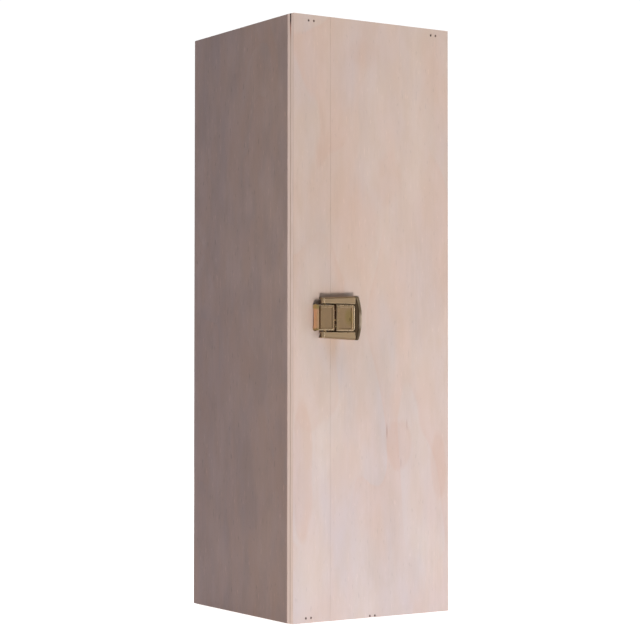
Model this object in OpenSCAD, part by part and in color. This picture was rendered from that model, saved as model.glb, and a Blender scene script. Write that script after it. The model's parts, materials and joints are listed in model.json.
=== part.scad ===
// Hinged wooden box for one large wine bottle, standing on its end.
// +Z runs up its length, the lid faces -X, the base faces +X,
// the latch is on the front wall at -Y and the hinges on the back wall at +Y.

/* [Box] */
// Length of the box, which is its height as it stands on end
box_length = 385; // [350:1:420]
// Depth of the box, from the lid panel's face to the base panel's face
box_depth = 126; // [122:1:140]
// Width of the box, from the front wall's face to the back wall's face
box_width = 120; // [114:1:134]
// Depth of the lid half, its panel included
lid_depth = 32.2; // [30:0.1:38]
// Gap along the saw cut between the lid and the base
parting_gap = 0.1; // [0.05:0.05:0.3]

/* [Timber] */
// Thickness of the front and back walls
wall_t = 7; // [6:0.5:9]
// Thickness of the end pieces
end_t = 8; // [6.5:0.5:12]
// Thickness of the plywood panel of the lid
lid_panel_t = 4.3; // [3:0.1:6]
// Thickness of the plywood panel of the base
base_panel_t = 4; // [3:0.1:6]
// Width of wall left outside the rebate that holds the base panel
rebate_lip = 3; // [2:0.1:4]
// Radius of the sanded outer arrises
arris_r = 0.6; // [0.2:0.1:1]
// How far sanding takes the lid panel's face below the top end
ease_top = 1.3; // [0.3:0.1:2]
// How far sanding takes the lid panel's face above the bottom end
ease_bottom = 0.9; // [0.3:0.1:2]

/* [Staples] */
// Width of a staple over its two legs
staple_w = 4.8; // [4:0.1:6]
// Width and thickness of the staple wire
staple_wire = 0.9; // [0.6:0.1:1.2]
// Length of a staple leg
staple_leg = 16; // [12:1:20]
// Depth of a staple's crown below the wood's face
staple_sink = 0.8; // [0.4:0.1:1.5]
// From the lid panel's face to the middle of the lid's top staple
lid_staple_top_in = 17.6; // [10:0.1:24]
// From the top end to the lid's top staple
lid_staple_top_drop = 3.8; // [2:0.1:5]
// From the lid panel's face to the middle of the lid's bottom staple
lid_staple_bottom_in = 15.8; // [10:0.1:24]
// From the bottom end to the lid's bottom staple
lid_staple_bottom_rise = 3.1; // [1:0.1:5]
// From the base panel's face to the middle of the base's top staple
base_staple_top_in = 12.4; // [8:0.1:60]
// From the top end to the base's top staple
base_staple_top_drop = 4.2; // [2:0.1:5]
// From the base panel's face to the middle of the base's bottom staple
base_staple_bottom_in = 61.3; // [8:0.1:70]
// From the bottom end to the base's bottom staple
base_staple_bottom_rise = 1.1; // [1:0.1:5]

/* [Neck rest] */
// Thickness of the slat that carries the bottle's neck
neck_rest_t = 8; // [6:0.5:12]
// Height of the slat above the base panel
neck_rest_rise = 49; // [40:1:51]
// From the top of the box to the upper face of the slat
neck_rest_drop = 70; // [50:1:100]
// Depth of the wall grooves that hold the slat's ends
groove_d = 2; // [1:0.5:3]
// Height of the bottle's axis above the base panel
bottle_axis_rise = 52; // [52:0.5:56]
// Radius of the notch for the neck
neck_notch_r = 17.5; // [15:0.5:20]

/* [Hinges] */
// From each end of the box to the middle of a hinge
hinge_inset = 70; // [40:1:90]
// Length of a hinge along its pin
hinge_len = 32; // [28:1:40]
// Width of a hinge leaf from the pin's axis
leaf_w = 18; // [15:0.5:20]
// Thickness of a hinge leaf
leaf_t = 0.8; // [0.6:0.1:1]
// Outer radius of the hinge knuckles
knuckle_r = 2; // [1.8:0.1:2.4]
// Clearance between the knuckles and the wood
knuckle_clear = 0.2; // [0.1:0.05:0.4]
// Gap between neighbouring knuckles
knuckle_gap = 0.3; // [0.2:0.05:0.5]
// Radius of the hinge pins
hinge_pin_r = 0.8; // [0.6:0.05:1]
// Radius of a hinge pin's heads
hinge_head_r = 1.4; // [1.2:0.1:1.7]
// Thickness of a hinge pin's heads
hinge_head_t = 0.6; // [0.4:0.1:1]
// From a leaf's outer edge to its nails
leaf_nail_in = 5; // [4:0.5:7]
// From a leaf's ends to its nails
leaf_nail_end = 6; // [4:0.5:8]

/* [Nails] */
// Radius of a nail's shank
nail_r = 0.55; // [0.4:0.05:0.7]
// Length of a nail's shank
nail_len = 6; // [4:0.5:6.5]
// Radius of a nail's head
nail_head_r = 1.3; // [1:0.1:1.6]
// Height of a nail's domed head
nail_head_h = 0.5; // [0.3:0.1:0.6]

/* [Latch] */
// Thickness of the brass sheet that the latch is stamped from
sheet_t = 0.8; // [0.7:0.05:0.9]
// Height of the closed latch above the wall
latch_h = 6; // [5.8:0.1:6.6]
// Outer radius of the knuckles round the hook pin
link_knuckle_r = 0.65; // [0.6:0.05:0.7]
// Depth of the hook pin's axis below the plates' faces
link_depth = 0.8; // [0.75:0.05:0.85]
// Radius of the hook pin
link_pin_r = 0.4; // [0.3:0.05:0.45]
// From the parting line to each plate's edge beside the hook pin
link_gap = 0.9; // [0.9:0.05:1.1]
// From the parting line to the lever pin's axis
pivot_in = 6.8; // [6:0.1:8]
// Height of the lever pin's axis above the wall
pivot_h = 3.9; // [3.7:0.1:4]
// Outer radius of the knuckles round the lever pin
pivot_knuckle_r = 1; // [0.9:0.05:1]
// Radius of the lever pin
pivot_pin_r = 0.5; // [0.4:0.05:0.6]
// Half the width of the lever
lever_half = 8.7; // [8.5:0.1:9]
// From the parting line to the lever's free end
lever_reach = 14.9; // [13:0.1:16]
// Radius of the lever's corners
lever_corner_r = 1.8; // [1:0.1:3]
// Half the width of the hook
hook_half = 8.3; // [8:0.1:8.5]
// From the parting line to the hook's outer face
hook_reach = 13.6; // [12.5:0.1:14]
// Clearance under the hook's bent end
hook_lift = 0.5; // [0.3:0.1:0.8]
// Radius of the hook's outer bend
hook_bend_r = 1; // [0.9:0.1:1.6]
// Rise of the shallow arch in the hook's lower edge
hook_arch = 0.7; // [0.3:0.1:1]
// Depth of the panels pressed into the lever and the hook
panel_press = 0.3; // [0.1:0.05:0.4]
// Clearance between the lever and the cheeks at its sides
cheek_clear = 0.35; // [0.2:0.05:0.5]
// Width of a wing at its left end
wing_w_left = 3.7; // [3:0.1:5]
// Width of a wing at its right end
wing_w_right = 4.95; // [4:0.05:6]
// From the parting line to the axis of the wings' rolled left ends
wing_in = 8.9; // [8.8:0.1:9.6]
// Outer radius of the wings' rolled left ends
wing_roll_r = 1; // [0.9:0.05:1.2]
// From a wing's rolled end to the rib pressed beside it
rib_in = 1.5; // [1.4:0.1:2]
// Radius of that rib
rib_r = 0.3; // [0.2:0.05:0.4]
// From the parting line to the wings' right ends
wing_reach = 16.6; // [14:0.1:17]
// From the parting line to the middle of the foot's curved end
foot_reach = 23.7; // [22:0.1:26]
// Radius of the foot's curved end
foot_end_r = 39.3; // [36:0.1:50]
// From the parting line to the foot's left edge
foot_in = 1; // [0.6:0.1:2]
// Radius of the bead along the foot's curved end
rim_r = 0.7; // [0.4:0.05:0.8]
// Gap between the wings and the lid that they reach over
wing_lift = 0.4; // [0.3:0.05:0.6]

/* [Keeper] */
// Half the width of the keeper
keeper_half = 6; // [5:0.1:7]
// Height of the keeper's lip above the wall
keeper_h = 4.4; // [3:0.1:4.6]
// From the parting line to the keeper's right edge
keeper_in = 3; // [2:0.1:4]
// Gap between the keeper's lip and the closed hook
keeper_play = 0.1; // [0.05:0.05:0.3]

/* [Hidden] */
$fn = 64;

// Colours
pale_wood = "#d2b7a9";
end_grain = "#c9aa98";
ply_face = "#b39b90";
steel_wire = "#8a8681";
antique_brass = "#8c6a3c";
worn_copper = "#b97845";
bright_brass = "#a98548";

// A cut runs this far past the face that it opens
over = 1;
// Added to a bore's radius over the pin that turns in it
run_fit = 0.05;
// Added to a hole's radius over the nail driven through it
nail_fit = 0.03;

// Planes of the box
lid_face_x = -box_depth / 2;
base_face_x = box_depth / 2;
front_y = -box_width / 2;
back_y = box_width / 2;
parting_x = lid_face_x + lid_depth;
lid_edge_x = parting_x - parting_gap / 2;
base_edge_x = parting_x + parting_gap / 2;
lid_inner_x = lid_face_x + lid_panel_t;
base_inner_x = base_face_x - base_panel_t;
bay_y = back_y - wall_t;
latch_z = box_length / 2;

// ---------------------------------------------------------------- frames

// Puts its children on the front wall: local X stays X, local Y is up
// and local Z points out of the wall.
module on_front(x, z) {
    translate([x, front_y, z]) rotate([90, 0, 0]) children();
}

// Puts its children on the back wall: local X is -X, local Y is up
// and local Z points out of the wall.
module on_back(x, z) {
    translate([x, back_y, z]) rotate([90, 0, 180]) children();
}

module slab(x_lo, x_hi, y_lo, y_hi, z_lo, z_hi) {
    translate([x_lo, y_lo, z_lo]) cube([x_hi - x_lo, y_hi - y_lo, z_hi - z_lo]);
}

// ---------------------------------------------------------------- timber

// Rounds the outer arris at a long corner of the box.
module arris_cut(x, y) {
    toward_x = x > 0 ? -1 : 1;
    toward_y = y > 0 ? -1 : 1;
    translate([x, y, -over])
        linear_extrude(box_length + 2 * over)
            difference() {
                scale_square(toward_x, toward_y);
                translate([toward_x * arris_r, toward_y * arris_r]) circle(arris_r);
            }
}

// Square of one arris radius inside the corner and one cut length outside it.
module scale_square(toward_x, toward_y) {
    side = arris_r + over;
    translate([
        toward_x > 0 ? -over : over - side,
        toward_y > 0 ? -over : over - side,
    ]) square(side);
}

// One long wall of the base. face_y is its outer face, inward points inside.
module base_wall(face_y, inward) {
    inner_y = face_y + inward * wall_t;
    lip_y = face_y + inward * rebate_lip;
    groove_y = inner_y - inward * groove_d;
    past_y = inner_y + inward * over;
    difference() {
        slab(base_edge_x, base_face_x, min(face_y, inner_y), max(face_y, inner_y), 0, box_length);
        slab(
            base_inner_x, base_face_x + over,
            min(lip_y, past_y), max(lip_y, past_y),
            -over, box_length + over
        );
        slab(
            base_inner_x - neck_rest_rise, base_inner_x,
            min(groove_y, past_y), max(groove_y, past_y),
            neck_rest_z(), neck_rest_z() + neck_rest_t
        );
        arris_cut(base_face_x, face_y);
    }
}

function neck_rest_z() = box_length - neck_rest_drop - neck_rest_t;

module base_front_wall() {
    color(pale_wood)
        difference() {
            base_wall(front_y, 1);
            front_base_staples(true);
            on_front(parting_x, latch_z) latch_nail_places() nail_hole();
        }
}

module base_back_wall() {
    color(pale_wood)
        difference() {
            base_wall(back_y, -1);
            back_base_staples(true);
            base_leaf_nail_places() nail_hole();
        }
}

module base_end(z) {
    slab(base_edge_x, base_inner_x, -bay_y, bay_y, z, z + end_t);
}

module base_top_end() {
    color(end_grain)
        difference() {
            base_end(box_length - end_t);
            base_staples_all(true);
        }
}

module base_bottom_end() {
    color(end_grain)
        difference() {
            base_end(0);
            base_staples_all(true);
        }
}

module base_panel() {
    panel_y = back_y - rebate_lip;
    color(ply_face)
        slab(base_inner_x, base_face_x, -panel_y, panel_y, 0, box_length);
}

// Slat with a round notch, its ends held in the grooves of the two walls.
module neck_rest() {
    rest_y = bay_y + groove_d;
    color(pale_wood)
        difference() {
            slab(
                base_inner_x - neck_rest_rise, base_inner_x,
                -rest_y, rest_y,
                neck_rest_z(), neck_rest_z() + neck_rest_t
            );
            translate([base_inner_x - bottle_axis_rise, 0, neck_rest_z() - over])
                cylinder(r = neck_notch_r, h = neck_rest_t + 2 * over);
        }
}

// One long strip of the lid. face_y is its outer face, inward points inside.
module lid_strip(face_y, inward) {
    inner_y = face_y + inward * wall_t;
    slab(lid_inner_x, lid_edge_x, min(face_y, inner_y), max(face_y, inner_y), 0, box_length);
}

module lid_front_strip() {
    color(pale_wood)
        difference() {
            lid_strip(front_y, 1);
            front_lid_staples(true);
            on_front(parting_x, latch_z) keeper_nail_places() nail_hole();
        }
}

module lid_back_strip() {
    color(pale_wood)
        difference() {
            lid_strip(back_y, -1);
            back_lid_staples(true);
            lid_leaf_nail_places() nail_hole();
        }
}

module lid_end(z) {
    slab(lid_inner_x, lid_edge_x, -bay_y, bay_y, z, z + end_t);
}

module lid_top_end() {
    color(end_grain)
        difference() {
            lid_end(box_length - end_t);
            lid_staples_all(true);
        }
}

module lid_bottom_end() {
    color(end_grain)
        difference() {
            lid_end(0);
            lid_staples_all(true);
        }
}

// Plywood over the whole lid, its two ends eased by sanding and its long
// arrises rounded.
module lid_panel() {
    color(ply_face)
        difference() {
            translate([0, back_y, 0])
                rotate([90, 0, 0])
                    linear_extrude(box_width)
                        polygon([
                            [lid_inner_x, 0],
                            [lid_inner_x, box_length],
                            [lid_face_x, box_length - ease_top],
                            [lid_face_x, ease_bottom],
                        ]);
            arris_cut(lid_face_x, front_y);
            arris_cut(lid_face_x, back_y);
        }
}

// ---------------------------------------------------------------- staples

// A staple driven below the face, or with hole = true the slot that it made.
// It stands at the local origin with its crown along local X.
module staple(hole) {
    leg_x = (staple_w - staple_wire) / 2;
    leg_top = hole ? over : -staple_sink;
    translate([-staple_w / 2, -staple_wire / 2, -staple_sink - staple_wire])
        cube([staple_w, staple_wire, staple_wire]);
    for (side = [-1, 1])
        translate([side * leg_x - staple_wire / 2, -staple_wire / 2, -staple_sink - staple_leg])
            cube([staple_wire, staple_wire, staple_sink + staple_leg + leg_top]);
}

module front_base_staples(hole) {
    on_front(base_face_x - base_staple_top_in, box_length - base_staple_top_drop) staple(hole);
    on_front(base_face_x - base_staple_bottom_in, base_staple_bottom_rise) staple(hole);
}

module back_base_staples(hole) {
    on_back(base_face_x - base_staple_top_in, box_length - base_staple_top_drop) staple(hole);
    on_back(base_face_x - base_staple_bottom_in, base_staple_bottom_rise) staple(hole);
}

module front_lid_staples(hole) {
    on_front(lid_face_x + lid_staple_top_in, box_length - lid_staple_top_drop) staple(hole);
    on_front(lid_face_x + lid_staple_bottom_in, lid_staple_bottom_rise) staple(hole);
}

module back_lid_staples(hole) {
    on_back(lid_face_x + lid_staple_top_in, box_length - lid_staple_top_drop) staple(hole);
    on_back(lid_face_x + lid_staple_bottom_in, lid_staple_bottom_rise) staple(hole);
}

module base_staples_all(hole) {
    front_base_staples(hole);
    back_base_staples(hole);
}

module lid_staples_all(hole) {
    front_lid_staples(hole);
    back_lid_staples(hole);
}

module base_staples() {
    color(steel_wire) base_staples_all(false);
}

module lid_staples() {
    color(steel_wire) lid_staples_all(false);
}

// ---------------------------------------------------------------- nails

// A nail whose domed head sits on the face at the local origin.
module nail() {
    dome_r = (nail_head_r * nail_head_r + nail_head_h * nail_head_h) / (2 * nail_head_h);
    translate([0, 0, -nail_len]) cylinder(r = nail_r, h = nail_len + nail_head_h / 2);
    rotate_extrude()
        intersection() {
            square([nail_head_r, nail_head_h]);
            translate([0, nail_head_h - dome_r]) circle(dome_r, $fn = 128);
        }
}

// The hole of a nail, through sheet and wood alike.
module nail_hole() {
    translate([0, 0, -nail_len - over / 2])
        cylinder(r = nail_r + nail_fit, h = nail_len + 2 * over);
}

// ---------------------------------------------------------------- latch
// The latch is drawn in the frame of on_front, with its origin where the
// parting line crosses the middle of the box.

hook_under = latch_h - sheet_t;
link_h = latch_h - link_depth;
wing_top = pivot_h + pivot_knuckle_r;
cheek_in = lever_half + cheek_clear;
web_in = lever_half - 2.3;
web_t = sheet_t;
web_top = link_h - link_knuckle_r - 0.2;
web_bottom = pivot_h - 0.9;
tongue_lap = 0.3;
link_split = 4.5;
link_end = 8.1;
link_side_gap = 0.1;
link_window = [-2, -1];
latch_nail_x = [4.5, 9.5];
latch_nail_y = 5;
keeper_nail_x = -5.2;
keeper_nail_y = 3.6;

// A bar or bore along local Y, from y_lo to y_hi.
module bar_y(x, h, r, y_lo, y_hi) {
    translate([x, y_hi, h]) rotate([90, 0, 0]) cylinder(r = r, h = y_hi - y_lo);
}

// A side view in local X and height, given its thickness from y_lo to y_hi.
module side_view(y_lo, y_hi) {
    translate([0, y_hi, 0]) rotate([90, 0, 0]) linear_extrude(y_hi - y_lo) children();
}

function wing_out(x) =
    cheek_in + wing_w_left
    + (wing_w_right - wing_w_left) * (x + wing_in) / (wing_reach + wing_in);

// Strip along a wing between two plan widths, from height h_lo to h_hi.
module wing_strip(x_lo, x_hi, inset, h_lo, h_hi) {
    translate([0, 0, h_lo])
        linear_extrude(h_hi - h_lo)
            polygon([
                [x_lo, wing_out(x_lo) - inset],
                [x_hi, wing_out(x_hi) - inset],
                [x_hi, wing_out(x_hi)],
                [x_lo, wing_out(x_lo)],
            ]);
}

// The wing above the lever: a channel of sheet whose left end is rolled
// and whose cheek holds the lever pin. Left of the foot it reaches over the lid.
module wing() {
    top_under = wing_top - sheet_t;
    roll_h = wing_top - wing_roll_r;
    difference() {
        union() {
            translate([0, 0, top_under])
                linear_extrude(sheet_t)
                    polygon([
                        [-wing_in, cheek_in],
                        [wing_reach, cheek_in],
                        [wing_reach, wing_out(wing_reach)],
                        [-wing_in, wing_out(-wing_in)],
                    ]);
            wing_strip(-wing_in, foot_in, sheet_t, wing_lift, wing_top);
            wing_strip(foot_in, wing_reach, sheet_t, 0, wing_top);
            translate([-wing_in, cheek_in, wing_lift])
                cube([foot_in + wing_in, sheet_t, wing_top - wing_lift]);
            translate([foot_in, cheek_in, 0])
                cube([wing_reach - foot_in, sheet_t, wing_top]);
            translate([wing_reach - sheet_t, cheek_in, 0])
                cube([sheet_t, wing_out(wing_reach - sheet_t) - cheek_in, wing_top]);
            bar_y(-wing_in, roll_h, wing_roll_r, cheek_in, wing_out(-wing_in));
        }
        bar_y(-pivot_in, pivot_h, pivot_pin_r + nail_fit, cheek_in - over, cheek_in + sheet_t + over);
    }
    bar_y(rib_in - wing_in, wing_top, rib_r, cheek_in, wing_out(-wing_in));
}

// Foot of the latch, nailed to the wall, its right end a shallow arc with a
// raised bead.
module foot() {
    reach = foot_reach + over;
    bead_mid_r = foot_end_r - rim_r;
    bead_angle = asin((wing_out(wing_reach) - rim_r) / bead_mid_r);
    linear_extrude(sheet_t)
        intersection() {
            translate([foot_reach - foot_end_r, 0]) circle(foot_end_r, $fn = 256);
            polygon([
                [foot_in, -wing_out(foot_in)],
                [wing_reach, -wing_out(wing_reach)],
                [reach, -wing_out(wing_reach)],
                [reach, wing_out(wing_reach)],
                [wing_reach, wing_out(wing_reach)],
                [foot_in, wing_out(foot_in)],
            ]);
        }
    translate([foot_reach - foot_end_r, 0, rim_r + 0.05])
        rotate([0, 0, -bead_angle])
            rotate_extrude(angle = 2 * bead_angle, $fn = 128)
                translate([bead_mid_r, 0]) circle(rim_r, $fn = 32);
}

module latch_plate() {
    color(antique_brass)
        on_front(parting_x, latch_z)
            difference() {
                union() {
                    foot();
                    wing();
                    mirror([0, 1, 0]) wing();
                }
                latch_nail_places() nail_hole();
            }
}

// Places of the nails through the foot, on the face of the wall.
module latch_nail_places() {
    for (x = latch_nail_x)
        for (side = [-1, 1])
            translate([x, side * latch_nail_y, 0]) children();
}

module latch_plate_nails() {
    color(bright_brass)
        on_front(parting_x, latch_z)
            latch_nail_places() translate([0, 0, sheet_t]) nail();
}

module lever_pin() {
    pin_end = cheek_in + sheet_t;
    color(bright_brass)
        on_front(parting_x, latch_z)
            bar_y(-pivot_in, pivot_h, pivot_pin_r, -pin_end, pin_end);
}

// Web of the lever, which carries the plate from the lever pin.
module lever_web() {
    side_view(web_in, web_in + web_t)
        polygon([
            [-pivot_in, web_bottom],
            [2.6, web_bottom],
            [5.2, hook_under + 0.1],
            [link_gap + 0.45, hook_under + 0.1],
            [link_gap, web_top],
            [-link_gap, web_top],
            [-pivot_in, wing_top - 0.05],
        ]);
    bar_y(-pivot_in, pivot_h, pivot_knuckle_r, web_in, lever_half);
}

// Plan of the lever's plate: square at the hook pin, round at its free corners.
module lever_plan() {
    round_x = lever_reach - lever_corner_r;
    round_y = lever_half - lever_corner_r;
    translate([link_gap, -lever_half]) square([round_x - link_gap, 2 * lever_half]);
    translate([round_x, -round_y]) square([lever_corner_r, 2 * round_y]);
    for (side = [-1, 1])
        translate([round_x, side * round_y]) circle(lever_corner_r);
}

// Knuckle round the hook pin with its tongue of sheet, which runs under the
// plate. toward is the side of the plate that it grows from.
module link_knuckle(toward, y_lo, y_hi) {
    tongue = link_gap + tongue_lap;
    bar_y(0, link_h, link_knuckle_r, y_lo, y_hi);
    translate([toward > 0 ? 0 : -tongue, y_lo, link_h - link_knuckle_r])
        cube([tongue, y_hi - y_lo, hook_under - link_h + link_knuckle_r + 0.1]);
}

module latch_lever() {
    knuckle_end = link_split - link_side_gap;
    color(antique_brass)
        on_front(parting_x, latch_z)
            difference() {
                union() {
                    translate([0, 0, hook_under]) linear_extrude(sheet_t) lever_plan();
                    lever_web();
                    mirror([0, 1, 0]) lever_web();
                    link_knuckle(1, -knuckle_end, link_window[0]);
                    link_knuckle(1, link_window[1], knuckle_end);
                }
                bar_y(-pivot_in, pivot_h, pivot_pin_r + run_fit, -lever_half - over, lever_half + over);
                bar_y(0, link_h, link_pin_r + run_fit, -knuckle_end - over, knuckle_end + over);
                pressed_panel([3.3, 11.7], 6.1);
            }
}

// Shallow panel pressed into a plate from above.
module pressed_panel(x_range, half) {
    translate([x_range[0], -half, latch_h - panel_press])
        cube([x_range[1] - x_range[0], 2 * half, panel_press + over]);
}

module hook_pin() {
    color(bright_brass)
        on_front(parting_x, latch_z)
            bar_y(0, link_h, link_pin_r, -link_end, link_end);
}

// Side view of the hook: its plate, its bend and its end turned to the wall.
module hook_profile() {
    bend_x = hook_bend_r - hook_reach;
    bend_h = latch_h - hook_bend_r;
    translate([bend_x, hook_under]) square([-link_gap - bend_x, sheet_t]);
    translate([-hook_reach, hook_lift]) square([sheet_t, bend_h - hook_lift]);
    intersection() {
        translate([-hook_reach, bend_h]) square(hook_bend_r);
        difference() {
            translate([bend_x, bend_h]) circle(hook_bend_r);
            translate([bend_x, bend_h]) circle(hook_bend_r - sheet_t);
        }
    }
}

module latch_hook() {
    arch_r = 16;
    corner = 1.5;
    color(worn_copper)
        on_front(parting_x, latch_z)
            difference() {
                union() {
                    side_view(-hook_half, hook_half) hook_profile();
                    link_knuckle(-1, link_split, link_end);
                    link_knuckle(-1, -link_end, -link_split);
                }
                bar_y(0, link_h, link_pin_r + nail_fit, -link_end - over, link_end + over);
                pressed_panel([-10.9, -1.9], 6.7);
                translate([-hook_reach - over, 0, hook_lift + hook_arch - arch_r])
                    rotate([0, 90, 0])
                        cylinder(r = arch_r, h = sheet_t + 2 * over, $fn = 128);
                for (side = [-1, 1])
                    translate([-hook_reach - over, side * (hook_half - corner), hook_lift + corner])
                        rotate([0, 90, 0]) lip_corner_cut(side, corner);
            }
}

// Cuts away what lies outside a round corner at the foot of the hook.
module lip_corner_cut(side, corner) {
    linear_extrude(sheet_t + 2 * over)
        difference() {
            translate([0, side > 0 ? 0 : -corner - over]) square(corner + over);
            circle(corner);
        }
}

// ---------------------------------------------------------------- keeper

// Angle of sheet nailed to the lid, whose upright lip the hook pulls on.
module keeper() {
    lip_x = -hook_reach + sheet_t + keeper_play;
    color(antique_brass)
        on_front(parting_x, latch_z)
            difference() {
                union() {
                    translate([lip_x, -keeper_half, 0])
                        cube([-keeper_in - lip_x, 2 * keeper_half, sheet_t]);
                    translate([lip_x, -keeper_half, 0])
                        cube([sheet_t, 2 * keeper_half, keeper_h]);
                }
                keeper_nail_places() nail_hole();
            }
}

// Places of the nails through the keeper, on the face of the lid's strip.
module keeper_nail_places() {
    for (side = [-1, 1])
        translate([keeper_nail_x, side * keeper_nail_y, 0]) children();
}

module keeper_nails() {
    color(bright_brass)
        on_front(parting_x, latch_z)
            keeper_nail_places() translate([0, 0, sheet_t]) nail();
}

// ---------------------------------------------------------------- hinges
// A hinge is drawn in the frame of on_back, with its origin where its middle
// meets the parting line. The base is then at local -X and the lid at +X.

upper_hinge_z = box_length - hinge_inset;
lower_hinge_z = hinge_inset;
hinge_axis_h = knuckle_r + knuckle_clear;
knuckle_len = (hinge_len - 2 * knuckle_gap) / 3;
base_knuckles = [
    [-hinge_len / 2, -hinge_len / 2 + knuckle_len],
    [hinge_len / 2 - knuckle_len, hinge_len / 2],
];
lid_knuckles = [[-knuckle_len / 2, knuckle_len / 2]];

// A leaf with its own knuckles, cut back beside the other leaf's knuckles.
module hinge_leaf(toward, own, others) {
    back_off = knuckle_r + knuckle_gap;
    difference() {
        union() {
            translate([toward > 0 ? 0 : -leaf_w, -hinge_len / 2, 0])
                cube([leaf_w, hinge_len, leaf_t]);
            for (span = own)
                bar_y(0, hinge_axis_h, knuckle_r, span[0], span[1]);
        }
        for (span = others)
            translate([-back_off, span[0] - knuckle_gap, -over])
                cube([2 * back_off, span[1] - span[0] + 2 * knuckle_gap, hinge_axis_h + knuckle_r + 2 * over]);
        bar_y(0, hinge_axis_h, hinge_pin_r + run_fit, -hinge_len / 2 - over, hinge_len / 2 + over);
        leaf_nail_places(toward) nail_hole();
    }
}

// Places of the two nails of a leaf, on the face of the wood.
module leaf_nail_places(toward) {
    for (side = [-1, 1])
        translate([toward * (leaf_w - leaf_nail_in), side * (hinge_len / 2 - leaf_nail_end), 0])
            children();
}

module base_leaf_nail_places() {
    for (z = [upper_hinge_z, lower_hinge_z])
        on_back(parting_x, z) leaf_nail_places(-1) children();
}

module lid_leaf_nail_places() {
    for (z = [upper_hinge_z, lower_hinge_z])
        on_back(parting_x, z) leaf_nail_places(1) children();
}

module base_leaf(z) {
    color(bright_brass) on_back(parting_x, z) hinge_leaf(-1, base_knuckles, lid_knuckles);
}

module lid_leaf(z) {
    color(bright_brass) on_back(parting_x, z) hinge_leaf(1, lid_knuckles, base_knuckles);
}

// Hinge pin with a flat head at each end.
module hinge_pin(z) {
    reach = hinge_len / 2;
    color(antique_brass)
        on_back(parting_x, z) {
            bar_y(0, hinge_axis_h, hinge_pin_r, -reach - hinge_head_t, reach + hinge_head_t);
            bar_y(0, hinge_axis_h, hinge_head_r, reach, reach + hinge_head_t);
            bar_y(0, hinge_axis_h, hinge_head_r, -reach - hinge_head_t, -reach);
        }
}

module upper_hinge_base_leaf() {
    base_leaf(upper_hinge_z);
}

module upper_hinge_lid_leaf() {
    lid_leaf(upper_hinge_z);
}

module upper_hinge_pin() {
    hinge_pin(upper_hinge_z);
}

module lower_hinge_base_leaf() {
    base_leaf(lower_hinge_z);
}

module lower_hinge_lid_leaf() {
    lid_leaf(lower_hinge_z);
}

module lower_hinge_pin() {
    hinge_pin(lower_hinge_z);
}

module hinge_base_nails() {
    color(bright_brass) base_leaf_nail_places() translate([0, 0, leaf_t]) nail();
}

module hinge_lid_nails() {
    color(bright_brass) lid_leaf_nail_places() translate([0, 0, leaf_t]) nail();
}

// ---------------------------------------------------------------- drawing

base_front_wall();
base_back_wall();
base_top_end();
base_bottom_end();
base_panel();
base_staples();
neck_rest();
lid_front_strip();
lid_back_strip();
lid_top_end();
lid_bottom_end();
lid_panel();
lid_staples();
latch_plate();
latch_plate_nails();
lever_pin();
latch_lever();
hook_pin();
latch_hook();
keeper();
keeper_nails();
upper_hinge_base_leaf();
upper_hinge_lid_leaf();
upper_hinge_pin();
lower_hinge_base_leaf();
lower_hinge_lid_leaf();
lower_hinge_pin();
hinge_base_nails();
hinge_lid_nails();
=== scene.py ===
# %% [markdown]
# # A wine box with a toggle latch
#
# The box is sawn from pale softwood, panelled with thin plywood and closed by a stamped
# brass latch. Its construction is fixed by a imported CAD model, so this lesson only dresses
# it: first the frame is loaded and measured, then come the camera and the studio, the
# finishes, the boards, and at the end the small brass fittings.

# %% Load the frame
import json
import math
import bmesh
import bpy
from mathutils import Euler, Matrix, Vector

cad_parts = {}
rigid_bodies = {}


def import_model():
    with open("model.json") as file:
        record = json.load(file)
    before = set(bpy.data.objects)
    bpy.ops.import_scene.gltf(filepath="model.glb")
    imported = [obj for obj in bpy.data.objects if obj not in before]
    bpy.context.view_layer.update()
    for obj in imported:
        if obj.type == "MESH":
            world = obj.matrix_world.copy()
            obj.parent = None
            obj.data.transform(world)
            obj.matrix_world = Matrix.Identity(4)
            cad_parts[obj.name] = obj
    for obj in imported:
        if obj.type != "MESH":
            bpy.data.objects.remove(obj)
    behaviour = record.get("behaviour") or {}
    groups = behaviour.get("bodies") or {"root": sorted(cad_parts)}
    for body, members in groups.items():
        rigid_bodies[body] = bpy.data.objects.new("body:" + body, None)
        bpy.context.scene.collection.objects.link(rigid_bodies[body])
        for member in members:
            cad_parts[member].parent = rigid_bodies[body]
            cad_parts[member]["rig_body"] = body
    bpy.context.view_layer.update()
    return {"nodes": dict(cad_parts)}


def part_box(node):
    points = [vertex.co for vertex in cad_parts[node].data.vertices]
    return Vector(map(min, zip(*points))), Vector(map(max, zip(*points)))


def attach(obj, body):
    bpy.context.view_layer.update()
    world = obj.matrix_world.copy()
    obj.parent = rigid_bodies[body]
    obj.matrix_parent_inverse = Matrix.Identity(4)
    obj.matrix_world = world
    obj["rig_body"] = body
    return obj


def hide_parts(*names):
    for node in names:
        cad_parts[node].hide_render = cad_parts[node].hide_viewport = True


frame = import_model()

nodes = frame["nodes"]
bpy.ops.object.select_all(action="DESELECT")
print("pieces in the frame:", len(nodes))

# %% [markdown]
# ## Measures
#
# Every place in this lesson is worked out from a few planes of the box. They are read from
# the pieces themselves, so the dressing would follow if the box were made in another size.

# %% Planes of the box
MM = 0.001
lid_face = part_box("lid_panel")[0].x
base_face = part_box("base_panel")[1].x
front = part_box("base_front_wall")[0].y
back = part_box("base_back_wall")[1].y
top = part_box("base_front_wall")[1].z
lid_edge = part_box("lid_front_strip")[1].x
base_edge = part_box("base_front_wall")[0].x
parting = (lid_edge + base_edge) / 2
latch_z = top / 2
print("box in mm:", [round(v / MM, 1) for v in (base_face - lid_face, back - front, top)])

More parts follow.
